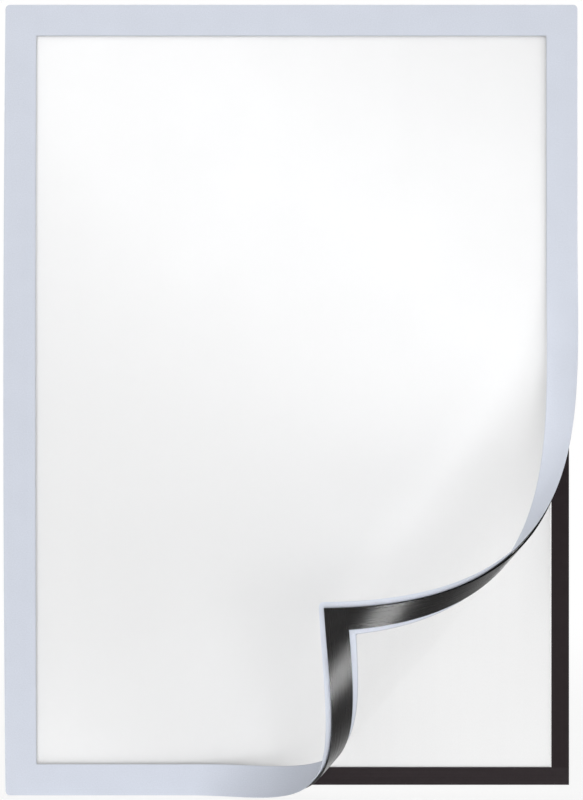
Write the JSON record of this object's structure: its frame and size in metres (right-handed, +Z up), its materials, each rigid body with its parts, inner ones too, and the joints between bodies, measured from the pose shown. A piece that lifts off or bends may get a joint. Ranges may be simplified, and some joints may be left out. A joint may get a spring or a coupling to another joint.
{
  "type": "magnetic photo frame",
  "caption": "Flat magnetic wall frame for a poster sheet: clear film cover with silver border, hinged on one long side, its lower corner rolled off the base's magnet strips.",
  "frame": {"origin": "middle of the wall plane, which the four tape faces lie in; also the middle of the frame's outline", "axes": "+X right as seen from the front, +Y back into the wall, +Z up along the long side"},
  "size_m": [0.327, 0.1182, 0.452],
  "materials": {
    "border_silver": "fine-grained metallic silver film",
    "clear_film": "clear glossy film",
    "hinge_silver": "silver film, folded",
    "cover_magnet": "glossy black magnetic rubber with lengthwise streaks",
    "base_magnet": "matt brown-black magnetic rubber",
    "paper": "blank white paper",
    "adhesive": "pale tacky tape"
  },
  "bodies": {
    "base": {"rear_film": "clear_film", "insert_sheet": "paper", "hinge_film": "hinge_silver", "base_magnet_top": "base_magnet", "base_magnet_bottom": "base_magnet", "base_magnet_left": "base_magnet", "base_magnet_right": "base_magnet", "adhesive_top": "adhesive", "adhesive_bottom": "adhesive", "adhesive_left": "adhesive", "adhesive_right": "adhesive"},
    "cover": {"window_film": "clear_film", "cover_border": "border_silver", "cover_magnet_top": "cover_magnet", "cover_magnet_bottom": "cover_magnet", "cover_magnet_left": "cover_magnet", "cover_magnet_right": "cover_magnet"}
  },
  "joints": [
    {"name": "cover_hinge", "type": "hinge", "parent": "base", "child": "cover", "pos_m": [-0.16215, -0.00165, 0], "axis": [0, 0, -1], "range_deg": [0, 145], "deforming": ["hinge_film"]}
  ]
}
